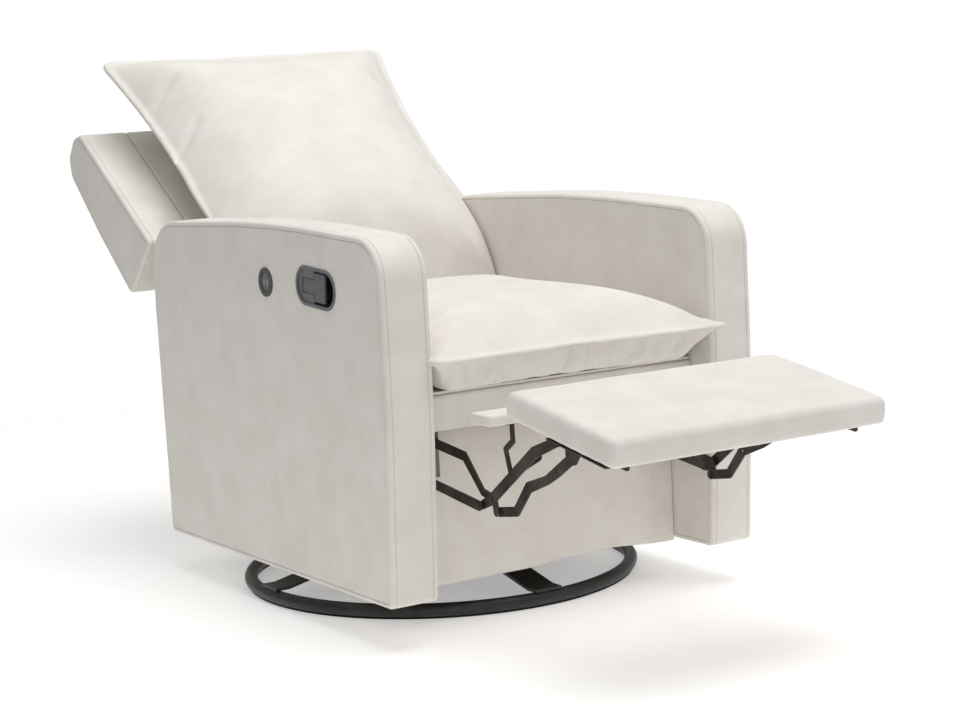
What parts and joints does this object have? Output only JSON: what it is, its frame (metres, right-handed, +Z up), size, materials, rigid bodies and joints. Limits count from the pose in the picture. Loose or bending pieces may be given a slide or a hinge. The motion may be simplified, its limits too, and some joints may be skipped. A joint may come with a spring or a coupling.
{
  "type": "glider nursery chair",
  "caption": "Upholstered swivel glider recliner for a nursery, in off-white performance cloth, shown reclined with its footrest out, on a black steel ring base.",
  "frame": {"origin": "on the floor, at the swivel axis", "axes": "+Z up, the sitter faces -Y, +X to the sitter's left"},
  "size_m": [0.742, 1.7015, 0.9664],
  "materials": {
    "upholstery": "matt coated cloth over foam",
    "black_steel": "satin black powder coat",
    "plywood": "raw plywood",
    "bright_steel": "zinc plated",
    "grey_plastic": "fine moulded texture",
    "black_plastic": "satin moulded",
    "rubber": "matt"
  },
  "bodies": {
    "base": {"floor_strip": "rubber", "base_ring": "black_steel", "base_spider": "black_steel", "lower_bearing_race": "bright_steel"},
    "swivel": {"upper_bearing_race": "bright_steel", "swivel_plate": "black_steel", "glider_post_left": "black_steel", "glider_post_right": "black_steel", "upper_glide_pins": "bright_steel"},
    "front_links": {"front_glide_link_left": "black_steel", "front_glide_link_right": "black_steel"},
    "rear_links": {"rear_glide_link_left": "black_steel", "rear_glide_link_right": "black_steel"},
    "seat_frame": {"glide_rail_left": "black_steel", "glide_rail_right": "black_steel", "lower_glide_pins": "bright_steel", "cross_rails": "black_steel", "arm_frame_left": "plywood", "arm_frame_right": "plywood", "arm_cover_left": "upholstery", "arm_cover_right": "upholstery", "seat_box": "plywood", "seat_springs": "bright_steel", "seat_deck": "upholstery", "seat_cushion": "upholstery", "front_rail": "upholstery", "front_panel": "upholstery", "rear_panel": "upholstery", "side_plate_left": "black_steel", "side_plate_right": "black_steel", "drive_spring": "bright_steel", "handle_cup": "grey_plastic", "port_bezel": "grey_plastic", "port_socket": "black_plastic", "release_cable": "black_plastic", "power_inlet": "black_plastic"},
    "paddle": {"release_paddle": "grey_plastic"},
    "upper_links": {"upper_link_left": "black_steel", "upper_link_right": "black_steel", "torque_tube": "black_steel"},
    "lower_links": {"lower_link_left": "black_steel", "lower_link_right": "black_steel"},
    "front_ottoman": {"front_ottoman_link_left": "black_steel", "front_ottoman_link_right": "black_steel"},
    "rear_ottoman": {"rear_ottoman_link_left": "black_steel", "rear_ottoman_link_right": "black_steel"},
    "footrest": {"footrest_bracket_left": "black_steel", "footrest_bracket_right": "black_steel", "footrest_board": "plywood", "footrest_pad": "upholstery", "bracket_screws": "bright_steel"},
    "flipper": {"flipper_brackets": "black_steel", "flipper_board": "upholstery"},
    "back": {"back_frame": "plywood", "back_springs": "bright_steel", "back_pad": "upholstery", "back_cover": "upholstery", "wing_left": "upholstery", "wing_right": "upholstery", "back_pillow": "upholstery"}
  },
  "joints": [
    {"name": "swivel_turn", "type": "hinge", "parent": "base", "child": "swivel", "pos_m": [0, 0, 0.0912], "axis": [0, 0, 1], "continuous": true},
    {"name": "front_glide", "type": "hinge", "parent": "swivel", "child": "front_links", "pos_m": [0, -0.07, 0.232], "axis": [1, 0, 0], "range_deg": [-18.2, 18.2]},
    {"name": "rear_glide", "type": "hinge", "parent": "swivel", "child": "rear_links", "pos_m": [0, 0.07, 0.232], "axis": [1, 0, 0], "range_deg": [-18.2, 18.2]},
    {"name": "seat_glide", "type": "hinge", "parent": "front_links", "child": "seat_frame", "pos_m": [0, -0.07, 0.127], "axis": [1, 0, 0], "range_deg": [-18, 18]},
    {"name": "release_pull", "type": "hinge", "parent": "seat_frame", "child": "paddle", "pos_m": [-0.361, -0.2246, 0.58579], "axis": [0, 0.0698, -0.9976], "range_deg": [0, 28], "stiffness_Nm_per_rad": 0.3, "springref_deg": -5.73},
    {"name": "footrest_fold", "type": "hinge", "parent": "seat_frame", "child": "upper_links", "pos_m": [0, -0.3205, 0.3623], "axis": [1, 0, 0], "range_deg": [0, 95.71]},
    {"name": "lower_link_fold", "type": "hinge", "parent": "seat_frame", "child": "lower_links", "pos_m": [0, -0.2928, 0.3508], "axis": [1, 0, 0], "range_deg": [-0.2, 96.1]},
    {"name": "front_ottoman_fold", "type": "hinge", "parent": "upper_links", "child": "front_ottoman", "pos_m": [0, -0.546, 0.247], "axis": [1, 0, 0], "range_deg": [-89.8, 0.2]},
    {"name": "rear_ottoman_fold", "type": "hinge", "parent": "upper_links", "child": "rear_ottoman", "pos_m": [0, -0.55, 0.226], "axis": [1, 0, 0], "range_deg": [-89.9, 0.2]},
    {"name": "footrest_tilt", "type": "hinge", "parent": "front_ottoman", "child": "footrest", "pos_m": [0, -0.7655, 0.3692], "axis": [1, 0, 0], "range_deg": [-0.2, 74.6]},
    {"name": "flipper_turn", "type": "hinge", "parent": "front_ottoman", "child": "flipper", "pos_m": [0, -0.66, 0.329], "axis": [1, 0, 0], "range_deg": [-0.2, 93.8]},
    {"name": "recline", "type": "hinge", "parent": "seat_frame", "child": "back", "pos_m": [0, 0.238, 0.445], "axis": [1, 0, 0], "range_deg": [0, 38]}
  ],
  "couplings": [
    {"joint": "front_glide", "follows": "seat_glide", "ratio": -1},
    {"joint": "rear_glide", "follows": "seat_glide", "ratio": -1},
    {"joint": "lower_link_fold", "follows": "footrest_fold", "ratio": 1.0017},
    {"joint": "front_ottoman_fold", "follows": "footrest_fold", "ratio": -0.9355},
    {"joint": "rear_ottoman_fold", "follows": "footrest_fold", "ratio": -0.9364},
    {"joint": "footrest_tilt", "follows": "footrest_fold", "ratio": 0.7766},
    {"joint": "flipper_turn", "follows": "footrest_fold", "ratio": 0.978}
  ]
}
